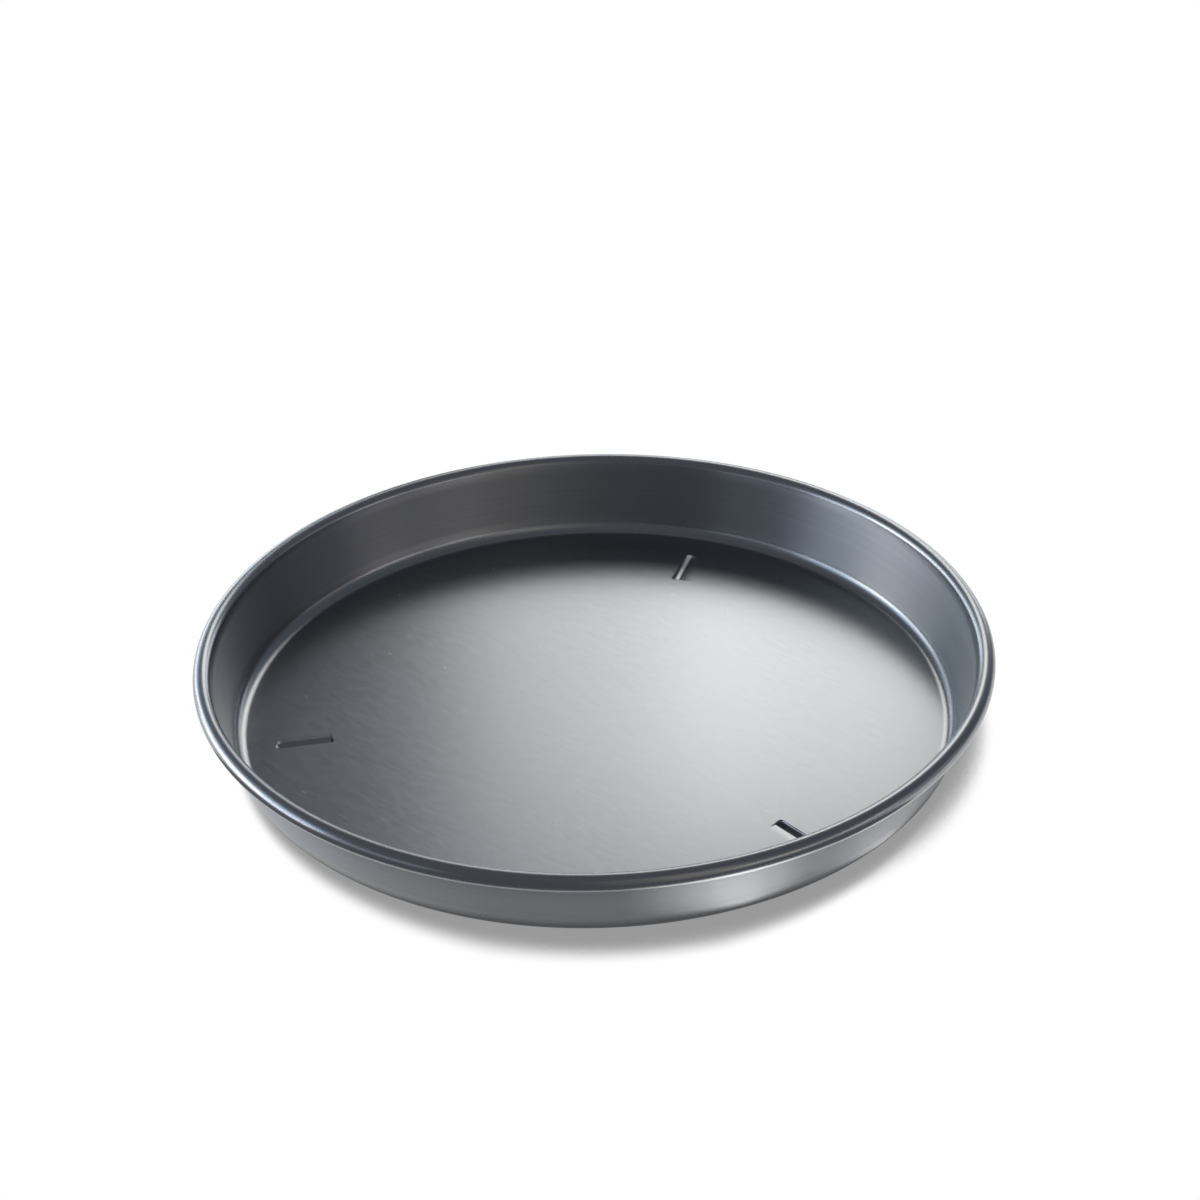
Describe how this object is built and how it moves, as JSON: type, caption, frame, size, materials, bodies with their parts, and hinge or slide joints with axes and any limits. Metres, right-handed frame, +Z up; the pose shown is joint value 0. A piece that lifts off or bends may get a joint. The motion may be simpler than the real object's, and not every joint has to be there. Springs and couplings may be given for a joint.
{
  "type": "deep-dish pizza pan",
  "caption": "Round deep-dish pizza pan of dark anodised aluminium, with a flat floor on pressed feet, a leaning wall and a rolled rim over a steel hoop.",
  "frame": {"origin": "on the pan's axis, on the surface that its three pressed feet stand on", "axes": "+Z up along the pan's axis, out of its mouth; +Y along the radius through the first foot"},
  "size_m": [0.3698, 0.3698, 0.0421],
  "materials": {
    "anodised_aluminium": "satin dark grey hard anodised, fine rolled grain on the floor and spun lines on wall and rim",
    "steel_wire": "plain drawn wire"
  },
  "bodies": {
    "root": {"pan_shell": "anodised_aluminium", "rim_hoop": "steel_wire"}
  },
  "joints": []
}
